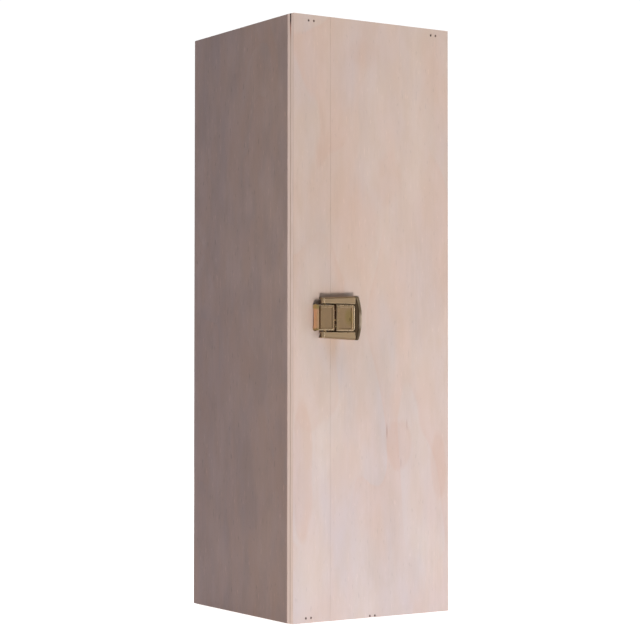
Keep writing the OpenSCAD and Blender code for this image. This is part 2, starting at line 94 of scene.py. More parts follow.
# %% [markdown]
# ## Camera
#
# The camera stands a little over a metre away, off the corner between the lid and the
# latched wall, and almost level with the middle of the box. A long lens keeps the box's
# edges nearly parallel, as in a catalogue.

# %% Camera
CAMERA_PLACE = Vector((-0.69003, -1.06199, 0.16340))
CAMERA_TURN = math.radians(33.028)
CAMERA_RISE = math.radians(1.3276)
CAMERA_ROLL = math.radians(-0.035)
LENS_MM = 105.93
SENSOR_MM = 36

camera_data = bpy.data.cameras.new("camera")
camera_data.lens = LENS_MM
camera_data.sensor_width = SENSOR_MM
camera = bpy.data.objects.new("camera", camera_data)
bpy.context.scene.collection.objects.link(camera)
camera.location = CAMERA_PLACE
camera.rotation_euler = Euler((math.radians(90) + CAMERA_RISE, CAMERA_ROLL, -CAMERA_TURN))
bpy.context.scene.camera = camera
print("camera turned", round(math.degrees(CAMERA_TURN), 1), "degrees")

# %% [markdown]
# ## Studio
#
# The box stands on a seamless white sweep. Two things are faked, as photographers do with
# flags and cards: the floor and the sky look white to the camera, but throw a dimmer light
# on the box, so that its shaded side keeps its depth. The key light stands low and to the
# right behind the camera, and shines up through the floor, which casts no shadow. Sky, floor
# and finishes are all trees of nodes, so the first helper adds a node and links its inputs.


# %% Helper: add a node
def put(tree, kind, inputs=None, **settings):
    """Adds a shader node; each input is a plain value or the socket that feeds it."""
    node = tree.nodes.new("ShaderNode" + kind)
    for key, value in settings.items():
        setattr(node, key, value)
    for key, value in (inputs or {}).items():
        if isinstance(value, bpy.types.NodeSocket):
            tree.links.new(value, node.inputs[key])
        else:
            node.inputs[key].default_value = value
    return node


def tone(red, green, blue):
    """Colour for a colour socket."""
    return (red, green, blue, 1.0)


# %% Helper: two looks of one thing
def for_camera(tree, felt, seen):
    """Shader that the camera sees as seen, while its light on other things is felt."""
    is_camera = put(tree, "LightPath").outputs["Is Camera Ray"]
    return put(tree, "MixShader", {0: is_camera, 1: felt.outputs[0], 2: seen.outputs[0]}).outputs[0]


# %% Sky
SKY_SEEN = 1.05
SKY_FELT = 0.127
WHITE = tone(1, 1, 1)
WARM_WHITE = tone(1, 0.97, 0.94)

world = bpy.data.worlds.new("studio")
bpy.context.scene.world = world
world.use_nodes = True
sky_tree = world.node_tree
sky_tree.nodes.clear()
bright_sky = put(sky_tree, "Background", {"Color": WHITE, "Strength": SKY_SEEN})
dim_sky = put(sky_tree, "Background", {"Color": WARM_WHITE, "Strength": SKY_FELT})
put(sky_tree, "OutputWorld", {"Surface": for_camera(sky_tree, dim_sky, bright_sky)})
bpy.context.scene.view_settings.view_transform = "Standard"
print("sky ready")

# %% Floor
FLOOR_SIDE = 60.0
FLOOR_DROP = 0.2 * MM
FLOOR_GLOW = 0.92
PAPER = tone(0.80, 0.80, 0.80)
CARD = tone(0.45, 0.45, 0.46)

bpy.ops.mesh.primitive_plane_add(size=FLOOR_SIDE, location=(0, 0, -FLOOR_DROP))
floor = bpy.context.object
floor.name = "floor"
floor.visible_shadow = False
floor_finish = bpy.data.materials.new("white_sweep")
floor_finish.use_nodes = True
floor_tree = floor_finish.node_tree
floor_tree.nodes.clear()
paper = put(floor_tree, "BsdfDiffuse", {"Color": PAPER})
glow = put(floor_tree, "Emission", {"Strength": FLOOR_GLOW})
lit_paper = put(floor_tree, "AddShader", {0: paper.outputs[0], 1: glow.outputs[0]})
card = put(floor_tree, "BsdfDiffuse", {"Color": CARD})
put(floor_tree, "OutputMaterial", {"Surface": for_camera(floor_tree, card, lit_paper)})
floor.data.materials.append(floor_finish)
print("floor ready")


# %% Lamps
def soft_box(name, turn, rise, distance, side, watts, tint=(1, 1, 1), height=latch_z):
    """Square lamp aimed at the front's middle, seen from it at turn and rise in degrees."""
    aim = Vector((parting, front, height))
    turned = math.radians(turn)
    risen = math.radians(rise)
    away = Vector((math.sin(turned) * math.cos(risen), -math.cos(turned) * math.cos(risen), math.sin(risen)))
    bpy.ops.object.light_add(type="AREA", location=aim + away * distance)
    lamp = bpy.context.object
    lamp.name = name
    lamp.data.size = side
    lamp.data.energy = watts
    lamp.data.color = tint
    lamp.rotation_mode = "QUATERNION"
    lamp.rotation_quaternion = (-away).to_track_quat("-Z", "Y")
    return lamp


OVERHEAD_STRENGTH = 0.58
OVERHEAD_SPREAD = math.radians(60)

soft_box("key", turn=-20, rise=-33, distance=2.00, side=0.52, watts=27, tint=(1, 0.97, 0.95))
soft_box("side_fill", turn=55, rise=-8, distance=1.50, side=0.90, watts=6.6)
soft_box("low_fill", turn=28, rise=-30, distance=0.80, side=0.40, watts=1.95,
         tint=(0.95, 1, 1.05), height=0.02)
soft_box("back_fill", turn=160, rise=25, distance=1.60, side=0.90, watts=16)
bpy.ops.object.light_add(type="SUN", location=(0, 0, 2))
overhead = bpy.context.object
overhead.name = "overhead"
overhead.data.energy = OVERHEAD_STRENGTH
overhead.data.angle = OVERHEAD_SPREAD

# %% [markdown]
# ## Tools for the finishes
#
# A finish is a tree of shader nodes. These helpers keep the trees short: they name the few
# moves that every finish here is made of, such as stretched noise, a soft step between two
# values and a tint. All of them read the piece's own coordinates, so a pattern is solid and
# stays with its piece when the lid or the lever turns.


# %% Helper: a new finish
def new_finish(name):
    """Material with an empty tree, its shader and the piece's own coordinates."""
    finish = bpy.data.materials.new(name)
    finish.use_nodes = True
    tree = finish.node_tree
    tree.nodes.clear()
    shader = put(tree, "BsdfPrincipled")
    put(tree, "OutputMaterial", {"Surface": shader.outputs[0]})
    place = put(tree, "TexCoord").outputs["Object"]
    return finish, tree, shader, place


# %% Helper: noise and soft steps
def noise(tree, place, stretch, shift=(0, 0, 0), detail=2.0, rough=0.5, bend=0.0):
    """Noise whose cells number stretch per metre along X, Y and Z."""
    laid = put(tree, "Mapping", {"Vector": place, "Scale": stretch, "Location": shift})
    made = put(tree, "TexNoise", {
        "Vector": laid.outputs[0],
        "Scale": 1.0,
        "Detail": detail,
        "Roughness": rough,
        "Distortion": bend,
    })
    return made.outputs["Fac"]


def step(tree, value, low, high, start=0.0, end=1.0):
    """Soft step of a value, from start at low to end at high."""
    node = put(tree, "MapRange", {
        "Value": value,
        "From Min": low,
        "From Max": high,
        "To Min": start,
        "To Max": end,
    }, interpolation_type="SMOOTHSTEP")
    return node.outputs[0]


# %% Helper: sums and masks
def calc(tree, operation, a, b=0.0, c=0.0):
    """One sum on one, two or three values."""
    return put(tree, "Math", {0: a, 1: b, 2: c}, operation=operation).outputs[0]


def times(tree, a, b):
    """Product of two values, which also keeps what lies inside both of two masks."""
    return calc(tree, "MULTIPLY", a, b)


def within(tree, value, rise, fall):
    """Mask between two soft steps, each given by where it is 0 and where it is 1."""
    return times(tree, step(tree, value, *rise), step(tree, value, *fall))


def axis_of(tree, vector, axis):
    """One of a vector's three values."""
    return put(tree, "SeparateXYZ", {0: vector}).outputs[axis]


def facing(tree, axis):
    """How squarely the surface looks along an axis, either way, from 0 to 1."""
    return calc(tree, "ABSOLUTE", axis_of(tree, put(tree, "TexCoord").outputs["Normal"], axis))


# %% Helper: mixes and tints
def mix(tree, share, a, b, kind="MIX"):
    """Colour between a and b."""
    node = put(tree, "Mix", {0: share, 6: a, 7: b}, data_type="RGBA", blend_type=kind)
    return node.outputs[2]


def tinted(tree, colour, tint):
    """Colour as it looks through a tint."""
    return mix(tree, 1.0, colour, tint, "MULTIPLY")


# %% [markdown]
# ## Timber
#
# These boards are peeled or sawn close to the log's skin, where the blade runs along the
# growth rings instead of through them. So their figure is a map of soft contours, like the
# lines round hills: warm patches with one crisp side and one that fades, stretched along the
# grain. The same idea makes them here. A slow noise is the height of the land, its fraction
# after a few turns gives the contours, and because all of it is solid, it runs on over the
# arrises and round the corners as real timber does.


# %% Helper: contours of a stretched noise
def contours(tree, place, stretch, shift, turns):
    """Fraction of a ring passed at each point, with slowly wandering rings."""
    land = noise(tree, place, stretch, shift, detail=1.2, rough=0.35, bend=0.25)
    return calc(tree, "FRACT", times(tree, land, turns))


# %% Helper: figure of a board
CREAM = tone(0.770, 0.615, 0.535)
PINK = tone(0.775, 0.560, 0.465)
GREY = tone(0.715, 0.575, 0.525)
LATEWOOD = tone(0.640, 0.410, 0.320)
AMBER_TINT = tone(0.982, 0.970, 0.945)
PEARL_TINT = tone(1.008, 1.014, 1.026)
FIGURE_TURNS = 4.0
LINE_SHARE = 0.07
BAND_SHARE = 0.12
GLOW_SHARE = 0.70


def figured(tree, place, cells, shift, tones, figure, wide, long):
    """Colour of a board without its fibres: clouds, bands, contours and a fine mottle."""
    cream, pink, grey, late = tones
    seed = shift[0]
    ring = contours(tree, place, cells(wide, long), shift, FIGURE_TURNS)
    fade = within(tree, ring, (0.05, 0.80), (1.0, 0.955))
    crisp = within(tree, ring, (0.88, 0.95), (1.0, 0.965))
    some = step(tree, noise(tree, place, cells(24, 8), (seed, 5.2, 3.3), 1.0), 0.40, 0.60)
    clouds = noise(tree, place, cells(1.5 * wide, 1.6 * long), (seed, 3.1, 1.7), 2.5)
    lights = noise(tree, place, cells(1.8 * wide, 1.3 * long), (seed, 9.1, 4.7), 1.5)
    bands = noise(tree, place, cells(120, 3.0), (2.4, seed, 0.6), 2.0)
    ground = mix(tree, step(tree, clouds, 0.32, 0.68), grey, cream)
    ground = mix(tree, step(tree, bands, 0.35, 0.68, 0.0, BAND_SHARE), ground, pink)
    ground = mix(tree, step(tree, lights, 0.50, 0.66, 0.0, GLOW_SHARE), ground, mix(tree, 0.6, cream, pink))
    ground = mix(tree, times(tree, times(tree, fade, some), figure), ground, pink)
    ground = mix(tree, times(tree, crisp, times(tree, some, LINE_SHARE)), ground, late)
    mottle = step(tree, noise(tree, place, cells(95, 32), (seed, 7.7, 0.4), 3.0, 0.6), 0.34, 0.66)
    return tinted(tree, ground, mix(tree, mottle, AMBER_TINT, PEARL_TINT))


# %% Helper: fibres of a board
def fibres(tree, place, cells, shift, fleck, grain):
    """Brightness that fibres and short dashes give a board, and the noises of its fibres."""
    seed = shift[0]
    fibre = noise(tree, place, cells(560, 36), shift, 4.0, 0.65)
    fine = noise(tree, place, cells(3600, 150), (seed, 0.3, 5.1), 2.0, 0.6)
    strength = noise(tree, place, cells(85, 10), (4.4, seed, 1.2), 2.0)
    shade = calc(tree, "ADD", step(tree, fibre, 0.32, 0.68, -0.014 * grain, 0.010 * grain),
                 step(tree, fine, 0.3, 0.7, -0.006 * grain, 0.006 * grain))
    streak = calc(tree, "MULTIPLY_ADD", shade, step(tree, strength, 0.36, 0.64, 0.25, 1.5), 1.0)
    dash = noise(tree, place, cells(800, 170), (1.1, 2.2, seed), 1.0)
    pale_dash = step(tree, dash, 0.66, 0.78, 0.0, 0.07 * fleck)
    dark_dash = step(tree, dash, 0.33, 0.22, 0.0, 0.08 * fleck)
    light = calc(tree, "ADD", streak, calc(tree, "SUBTRACT", pale_dash, dark_dash))
    return light, fibre, fine


# %% Helper: end grain
PORE = tone(0.36, 0.24, 0.17)
END_RING = tone(0.46, 0.30, 0.20)
END_TURNS = 9.0
END_SHARE = 0.85
RING_SHARE = 0.35


def end_grain(tree, place, along, cells, shift, face):
    """Colour of a board with the pores and rings that show where it is cut across."""
    end = step(tree, facing(tree, along), 0.6, 0.9)
    growth = step(tree, contours(tree, place, cells(60, 6), shift, END_TURNS), 0.5, 0.95)
    pores = noise(tree, place, (2600, 2600, 2600), shift, 2.0)
    cut = mix(tree, step(tree, pores, 0.35, 0.7, 0.22, 0.0), face, PORE)
    cut = mix(tree, times(tree, growth, RING_SHARE), cut, END_RING)
    return mix(tree, times(tree, end, END_SHARE), face, cut)


# %% Helper: a wood finish
def wood(name, along="Z", seed=0.0, tones=(CREAM, PINK, GREY, LATEWOOD),
         figure=0.50, fleck=0.4, grain=1.0, wide=22.0, long=8.0, marks=None):
    """Finish of a plain board whose grain runs along Z or Y.

    fleck and grain are the strength of its short dashes and its fibres, wide and
    long the cells of its figure per metre across and along the grain, and marks
    may add what only this board has."""
    finish, tree, shader, place = new_finish(name)
    shift = (seed, seed * 0.7, seed * 1.3)

    def cells(across, length):
        """Cells per metre along X, Y and Z, from those across and along the grain."""
        return (across, length, across) if along == "Y" else (across, across, length)

    ground = figured(tree, place, cells, shift, tones, figure, wide, long)
    if marks:
        ground = marks(tree, place, ground)
    light, fibre, fine = fibres(tree, place, cells, shift, fleck, grain)
    brightness = put(tree, "CombineColor", {0: light, 1: light, 2: light}).outputs[0]
    colour = end_grain(tree, place, along, cells, shift, tinted(tree, ground, brightness))
    tree.links.new(colour, shader.inputs["Base Color"])
    tree.links.new(step(tree, fibre, 0.3, 0.7, 0.58, 0.70), shader.inputs["Roughness"])
    shader.inputs["Specular IOR Level"].default_value = 0.28
    relief = calc(tree, "ADD", fibre, times(tree, fine, 0.5))
    bump = put(tree, "Bump", {"Height": relief, "Strength": 0.22, "Distance": 0.07 * MM})
    tree.links.new(bump.outputs[0], shader.inputs["Normal"])
    return finish, tree, shader, place, colour


# %% [markdown]
# ### Marks of the latched wall
#
# No two boards of a box are alike, and this wall has marks of its own: flames where the saw
# met a dip in the rings, three short cracks from drying, a stain round the latch, warmed
# further by painted light reflected from the brass, and a dark bruise where each leg of a
# staple went in, holding also the painted shade of its hole. They could be painted by hand
# as a flat image, but an uneven oval of tint does for all of them and needs no file. The
# foot of the wall is painted cooler and lighter for the light the floor throws up. The legs
# are found in the staples' own meshes, so the bruises and their painted shade always sit
# round the steel.


# %% Helper: a patch of other colour
def patch(tree, place, ground, tint, middle, half, share, soft, wobble):
    """Tints an uneven oval; middle and half are its place and half size, along and up."""
    away = put(tree, "VectorMath", {0: place, 1: (middle[0], front, middle[1])}, operation="SUBTRACT")
    per_half = (1 / half[0], 0, 1 / half[1])
    flat = put(tree, "VectorMath", {0: away.outputs[0], 1: per_half}, operation="MULTIPLY")
    far = put(tree, "VectorMath", {0: flat.outputs[0]}, operation="LENGTH").outputs["Value"]
    shake = noise(tree, place, (70, 70, 26), (middle[0] * 900, 1.3, 2.2), 1.5)
    reach = calc(tree, "MULTIPLY_ADD", calc(tree, "SUBTRACT", shake, 0.5), wobble * 2, far)
    inside = step(tree, reach, 1.0, 1.0 - soft, 0.0, share)
    return mix(tree, inside, ground, tinted(tree, ground, tint))


# %% Staple legs in the latched wall
SEEN_DEPTH = 2 * MM
LEG_APART = 1.6 * MM

groups = []
for staples in ("base_staples", "lid_staples"):
    for vertex in nodes[staples].data.vertices:
        point = nodes[staples].matrix_world @ vertex.co
        spot = Vector((point.x, point.z))
        if point.y > front + SEEN_DEPTH:
            continue
        near = [group for group in groups if (group[0] - spot).length < LEG_APART]
        if near:
            near[0].append(spot)
        else:
            groups.append([spot])
legs = [sum(group, Vector((0, 0))) / len(group) for group in groups]
print("staple legs seen in the wall:", len(legs))

# %% Tints of the marks
FLOOR_BOUNCE_TINT = tone(0.980, 1.045, 1.150)
UPPER_DARK_TINT = tone(0.900, 0.895, 0.890)
DULL_TINT = tone(0.925, 0.955, 0.970)
LIGHT_TINT = tone(1.02, 1.03, 1.02)
ARCH_TINT = tone(0.970, 0.962, 0.945)
FLAME_TINT = tone(0.980, 0.915, 0.875)
CRACK_TINT = tone(0.66, 0.50, 0.46)
STAIN_AND_BRASS_LIGHT_TINT = tone(0.975, 0.890, 0.795)
BRUISE_AND_HOLE_SHADE = tone(0.20, 0.13, 0.11)


# %% Marks of the latched wall
def wall_marks(tree, place, ground):
    """Painted cool floor light at the foot, darker and lighter areas, flames, cracks, a latch stain with
    painted brass light, and staple bruises with painted hole shade.
    """
    # painted light: the foot is tinted cooler and lighter, as the light from the floor makes it
    low = step(tree, axis_of(tree, place, "Z"), 0.62 * top, 0.08 * top)
    board = mix(tree, low, ground, tinted(tree, ground, FLOOR_BOUNCE_TINT))
    left, seam, right = lid_face / MM, parting / MM, base_face / MM
    height, latch = top / MM, latch_z / MM

    def add(tint, along, up, wide, high, share, soft, wobble):
        """Board with one more mark; wide and high are its half sizes, and all is in mm."""
        return patch(tree, place, board, tint, (along * MM, up * MM), (wide * MM, high * MM),
                     share, soft, wobble)

    # a broad darker area over the upper left of the wall
    board = add(UPPER_DARK_TINT, left + 20, 0.64 * height, 60, 150, share=1.0, soft=0.9, wobble=0.1)
    board = add(DULL_TINT, seam + 20.8, 0.42 * height, 55, 70, share=1.0, soft=0.8, wobble=0.6)
    board = add(LIGHT_TINT, left + 21, 0.095 * height, 17, 30, share=0.8, soft=0.6, wobble=0.5)
    board = add(LIGHT_TINT, right - 16, 0.1 * height, 15, 32, share=0.9, soft=0.5, wobble=0.5)
    board = add(ARCH_TINT, right - 51, 0.13 * height, 18, 46, share=0.9, soft=0.25, wobble=0.5)
    board = add(LIGHT_TINT, seam, 0.33 * height, 11, 40, share=1.0, soft=0.5, wobble=0.9)

    board = add(FLAME_TINT, right - 39.4, 0.287 * height, 12.5, 18.5, share=0.70, soft=0.25, wobble=0.35)
    board = add(FLAME_TINT, left + 11.5, 0.25 * height, 8.5, 48, share=0.80, soft=0.22, wobble=0.45)
    board = add(FLAME_TINT, right - 48.5, 0.735 * height, 12, 21, share=0.50, soft=0.35, wobble=0.40)
    board = add(FLAME_TINT, right - 8, 0.255 * height, 7, 26, share=0.60, soft=0.30, wobble=0.40)
    board = add(FLAME_TINT, right - 71, 0.945 * height, 20, 12, share=0.40, soft=0.60, wobble=0.60)
    # stain round the latch, with painted warm light reflected from the brass, most below it
    board = add(STAIN_AND_BRASS_LIGHT_TINT, seam + 1, latch + 3, 21, 22, share=0.75, soft=0.6, wobble=0.2)
    board = add(STAIN_AND_BRASS_LIGHT_TINT, seam + 2, latch - 19, 9, 19, share=1.0, soft=0.9, wobble=0.3)

    board = add(CRACK_TINT, right - 49.8, 0.311 * height, 0.6, 6.8, share=0.75, soft=0.7, wobble=0.1)
    board = add(CRACK_TINT, right - 33.9, 0.322 * height, 0.6, 5.0, share=0.40, soft=0.7, wobble=0.1)
    board = add(CRACK_TINT, right - 38.7, 0.257 * height, 0.6, 4.5, share=0.35, soft=0.7, wobble=0.1)
    # a bruise at each staple leg, with the painted shade of its hole
    for leg in legs:
        board = add(BRUISE_AND_HOLE_SHADE, leg.x / MM, leg.y / MM, 0.9, 1.1, share=0.9, soft=0.6, wobble=0.1)
    return board


# %% Timber of each board
front_wood = wood("front_board", seed=1.0, fleck=0.9, marks=wall_marks)[0]
back_wood = wood("back_board", seed=7.0)[0]
end_wood = wood("end_boards", along="Y", seed=4.0)[0]
rest_wood = wood("neck_rest", along="Y", seed=9.0)[0]
print("timber ready")

# %% [markdown]
# ## Plywood
#
# The panels of lid and base are three sheets glued together. Their faces are peeled veneer,
# which shows a mottled figure, and their edges show a thin dark core between two pale
# layers. The lid's face is painted in darker, cooler tones than the boards, as painted shade
# for the shaded side of the box. The layers are found by depth below the outer face. The
# lid's sheets are painted as parting at the corner that is knocked most, above the latch,
# with painted shade in the gap, and its inner sheet is painted lighter than its face, out
# of that painted shade.

# %% Tones of the plywood
# painted shade: the lid's face tones are darker and cooler than the wood of the boards
SHADED_TONES = (
    tone(0.690, 0.520, 0.475),
    tone(0.670, 0.485, 0.430),
    tone(0.610, 0.465, 0.435),
    tone(0.500, 0.340, 0.290),
)
BASE_TONES = (CREAM, tone(0.750, 0.545, 0.450), tone(0.700, 0.545, 0.475), LATEWOOD)
NEAR_TINT = tone(1.035, 1.020, 1.010)
FAR_TINT = tone(0.950, 0.960, 1.010)
LOW_TINT = tone(0.950, 0.945, 0.950)
LINING_UNSHADE_TINT = tone(1.15, 1.13, 1.04)
PLY_EDGE = tone(0.705, 0.555, 0.495)
PLY_PORE = tone(0.42, 0.29, 0.21)
PLY_CORE = tone(0.330, 0.215, 0.150)
SPLIT_STAIN = tone(0.30, 0.10, 0.06)
SPLIT_SHADE = tone(0.035, 0.015, 0.012)


# %% Helper: marks of a panel and a split
def panel_marks(tree, place, ground):
    """The sheet is warmer towards the latch and a shade darker below the middle."""
    depth = back - front
    away = step(tree, axis_of(tree, place, "Y"), front + 0.1 * depth, front + 0.8 * depth)
    ground = tinted(tree, ground, mix(tree, away, NEAR_TINT, FAR_TINT))
    low = within(tree, axis_of(tree, place, "Z"), (0.60 * top, 0.40 * top), (0.05 * top, 0.20 * top))
    return mix(tree, low, ground, tinted(tree, ground, LOW_TINT))


def split_open(tree, place, depth, core_from, core_to, layer):
    """Paints the sheets parting at the core, at the upper front corner: painted shade in the gap and a stain
    below it.
    """
    between = within(tree, depth, (core_from - 0.45 * MM, core_from - 0.10 * MM),
                     (core_to + 0.25 * MM, core_to))
    corner = times(tree, between, step(tree, axis_of(tree, place, "Y"), front + 14 * MM, front + 4 * MM))
    height = axis_of(tree, place, "Z")
    stained = times(tree, corner, step(tree, height, top - 22 * MM, top - 8 * MM, 0.0, 0.65))
    # painted shade of the gap where the sheets part
    gap = times(tree, corner, step(tree, height, top - 10 * MM, top - 5 * MM))
    return mix(tree, gap, mix(tree, stained, layer, SPLIT_STAIN), SPLIT_SHADE)


# %% Plywood finish
GLUE_LINE = 0.08 * MM
WAVER = 0.35 * MM
CORE_SHARE = 0.75


def plywood(name, tones, outer_x, inward, core_from, core_to, seed, lining=None, split=False):
    """Wood finish with a core seen at the edges, between two depths below outer_x.

    inward is 1 or -1, the way along X from the outer face into the box, lining
    tints the sheet on the inside, lifting it out of the face's painted shade, and split
    paints the sheets parting at one corner, with painted shade in the gap."""
    finish, tree, shader, place, face = wood(
        name, seed=seed, tones=tones, figure=0.65, fleck=2.4, grain=1.8, wide=34.0, long=18.0,
        marks=panel_marks)
    depth = times(tree, calc(tree, "SUBTRACT", axis_of(tree, place, "X"), outer_x), inward)
    waver = calc(tree, "SUBTRACT", noise(tree, place, (90, 90, 90), (seed, 0, 0), 2.0), 0.5)
    depth = calc(tree, "ADD", depth, times(tree, waver, WAVER))
    if lining:
        face = mix(tree, step(tree, depth, core_from, core_to), face, tinted(tree, face, lining))
    core = within(tree, depth, (core_from - GLUE_LINE, core_from + GLUE_LINE),
                  (core_to + GLUE_LINE, core_to - GLUE_LINE))
    edge = step(tree, facing(tree, "X"), 0.75, 0.45)
    grain = noise(tree, place, (1800, 1800, 60), (seed, 1.0, 2.0), 2.0)
    layer = mix(tree, step(tree, grain, 0.35, 0.7, 0.22, 0.0), PLY_EDGE, PLY_PORE)
    layer = mix(tree, times(tree, core, CORE_SHARE), layer, PLY_CORE)
    if split:
        layer = split_open(tree, place, depth, core_from, core_to, layer)
    tree.links.new(mix(tree, edge, face, layer), shader.inputs["Base Color"])
    return finish


# the lid's face in painted shade, its inner sheet lifted out of it
lid_ply = plywood("lid_plywood", SHADED_TONES, lid_face, 1, 1.95 * MM, 2.40 * MM, 3.0,
                  lining=LINING_UNSHADE_TINT, split=True)
base_ply = plywood("base_plywood", BASE_TONES, base_face, -1, 1.3 * MM, 2.7 * MM, 12.0)
print("plywood ready")

# %% [markdown]
# ## Brass and steel
#
# The latch is stamped from brass sheet and given an antique finish: brown on the flats,
# nearly black where the dip was never rubbed off, and bright where hands and the box in the
# next carton polish the edges. Depth above the wall tells the hollows from the flats; their
# dark is the dip and also painted shade, most of all in the trough beside the lever. The
# bevelled edges are a second material, which the upper and left slopes of the pressed panels
# also get, as a painted highlight. Some changes go by place: a green film on the lever,
# painted shade in the hook's bend, copper on its lip, brightened as a painted reflection,
# and a bead with a painted highlight in its middle and painted shade at its ends.


# %% Helper: a metal finish
CLOUDS = (260, 260, 260)
SPECKS = (2200, 2200, 2200)
SCRATCHES = (700, 700, 5200)


def brass(name, flat, warm, dark, rough, hollow=None, scratch=0.5, bare=0.75, marks=None):
    """Metal with cloudy tarnish; hollow is a depth above the wall below which it is painted dark, for the dip
    and as painted shade.

    bare is the share of clean metal: the rest is a dull film of tarnish. marks
    may tint the metal by its place."""
    finish, tree, shader, place = new_finish(name)
    cloud = noise(tree, place, CLOUDS, (3, 1, 2), 4.0, 0.6)
    speck = noise(tree, place, SPECKS, (0, 4, 1), 3.0, 0.7)
    rub = noise(tree, place, SCRATCHES, (2, 2, 2), 2.0, 0.6)
    colour = mix(tree, step(tree, cloud, 0.35, 0.68), flat, warm)
    colour = mix(tree, step(tree, speck, 0.60, 0.76, 0.0, 0.35), colour, dark)
    if marks:
        colour = marks(tree, place, colour)
    # the dip and painted shade: the metal darkens towards the wall
    if hollow:
        height = calc(tree, "SUBTRACT", front, axis_of(tree, place, "Y"))
        colour = mix(tree, step(tree, height, hollow, hollow * 0.55, 0.0, 0.85), colour, dark)
    tree.links.new(colour, shader.inputs["Base Color"])
    shader.inputs["Metallic"].default_value = bare
    shader.inputs["Specular IOR Level"].default_value = 0.5 if bare else 0.15
    polish = calc(tree, "ADD", step(tree, cloud, 0.3, 0.7, rough - 0.07, rough + 0.08),
                  step(tree, rub, 0.35, 0.7, -0.05 * scratch, 0.08 * scratch))
    tree.links.new(polish, shader.inputs["Roughness"])
    relief = calc(tree, "MULTIPLY_ADD", rub, scratch, times(tree, speck, 0.35))
    bump = put(tree, "Bump", {"Height": relief, "Strength": 0.14, "Distance": 0.03 * MM})
    tree.links.new(bump.outputs[0], shader.inputs["Normal"])
    return finish


# %% Tarnish, painted shade and painted highlights by place
OLIVE = tone(0.78, 0.84, 0.50)
BROWN_AND_SHADE_TINT = tone(0.42, 0.36, 0.30)
BEAD_SHADE = tone(0.36, 0.34, 0.28)
LIP_YELLOW = tone(0.56, 0.42, 0.17)
LIP_BROWN = tone(0.40, 0.28, 0.11)
LIP_BLACK = tone(0.16, 0.12, 0.05)
LIP_WANDER = 2.5
FILM_PLACE = (parting + 10.5 * MM, latch_z + 0.5 * MM)
FILM_HALF = (3.8 * MM, 5.8 * MM)
SPOT_PLACE = (parting + 11.2 * MM, latch_z - 0.8 * MM)
SPOT_HALF = (0.8 * MM, 1.7 * MM)
hook_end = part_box("latch_hook")[0].x


def across_mm(tree, place, axis, zero):
    """Distance from a plane along one axis, in mm."""
    return times(tree, calc(tree, "SUBTRACT", axis_of(tree, place, axis), zero), 1 / MM)


def plate_marks(tree, place, colour):
    """Green film on the lever's right half, a brown spot on it, and painted shade in the hook's bend."""
    film = patch(tree, place, colour, OLIVE, FILM_PLACE, FILM_HALF, share=0.65, soft=0.9, wobble=0.8)
    spot = patch(tree, place, film, BROWN_AND_SHADE_TINT, SPOT_PLACE, SPOT_HALF, share=0.55, soft=0.8, wobble=1.1)
    # painted shade: the hook's bend is darkened
    bend = step(tree, across_mm(tree, place, "X", hook_end), 3.1, 2.3)
    return mix(tree, bend, spot, tinted(tree, spot, BROWN_AND_SHADE_TINT))


def lip_marks(tree, place, colour):
    """Copper shows where the lip is rubbed, and is painted bright for the warm reflection the lip catches;
    its ends keep the brass and the dip.
    """
    wander = calc(tree, "SUBTRACT", noise(tree, place, (500, 500, 500), (1, 1, 4), 2.0), 0.5)
    up = calc(tree, "ADD", across_mm(tree, place, "Z", latch_z), times(tree, wander, LIP_WANDER))
    colour = mix(tree, step(tree, up, 4.6, 6.6), colour, LIP_YELLOW)
    colour = mix(tree, step(tree, up, -6.2, -7.4), colour, LIP_BROWN)
    return mix(tree, step(tree, up, -7.6, -8.4), colour, LIP_BLACK)


def bead_highlight_and_shade(tree, place, colour):
    """The bead has a painted highlight in the middle and painted shade towards the channels."""
    up = across_mm(tree, place, "Z", latch_z)
    ends = calc(tree, "MAXIMUM", step(tree, up, 0.5, 5.0), step(tree, up, -3.5, -8.0))
    return mix(tree, ends, colour, tinted(tree, colour, BEAD_SHADE))


# %% Metals
antique = brass("antique_brass", tone(0.355, 0.238, 0.134), tone(0.390, 0.258, 0.142),
                tone(0.022, 0.013, 0.006), 0.38, hollow=1.30 * MM, bare=0.88, marks=plate_marks)
wing_metal = brass("wing_brass", tone(0.455, 0.322, 0.192), tone(0.490, 0.336, 0.197),
                   tone(0.08, 0.05, 0.028), 0.38, hollow=1.25 * MM, bare=0.88)
# bead with a painted highlight in its middle and painted shade at its ends
bead_metal = brass("bead_brass", tone(0.560, 0.440, 0.335), tone(0.500, 0.390, 0.290),
                   tone(0.20, 0.14, 0.09), 0.42, bare=0.65, marks=bead_highlight_and_shade)
# patina and painted shade: near-black barrels make the deep slot read dark
patina_and_slot_shade = brass("patina_and_slot_shade_brass", tone(0.040, 0.013, 0.003), tone(0.030, 0.009, 0.002),
                tone(0.010, 0.004, 0.002), 0.9, bare=0.0)
rubbed = brass("rubbed_edges", tone(0.84, 0.66, 0.44), tone(0.78, 0.60, 0.38),
               tone(0.40, 0.27, 0.14), 0.30, bare=0.88)
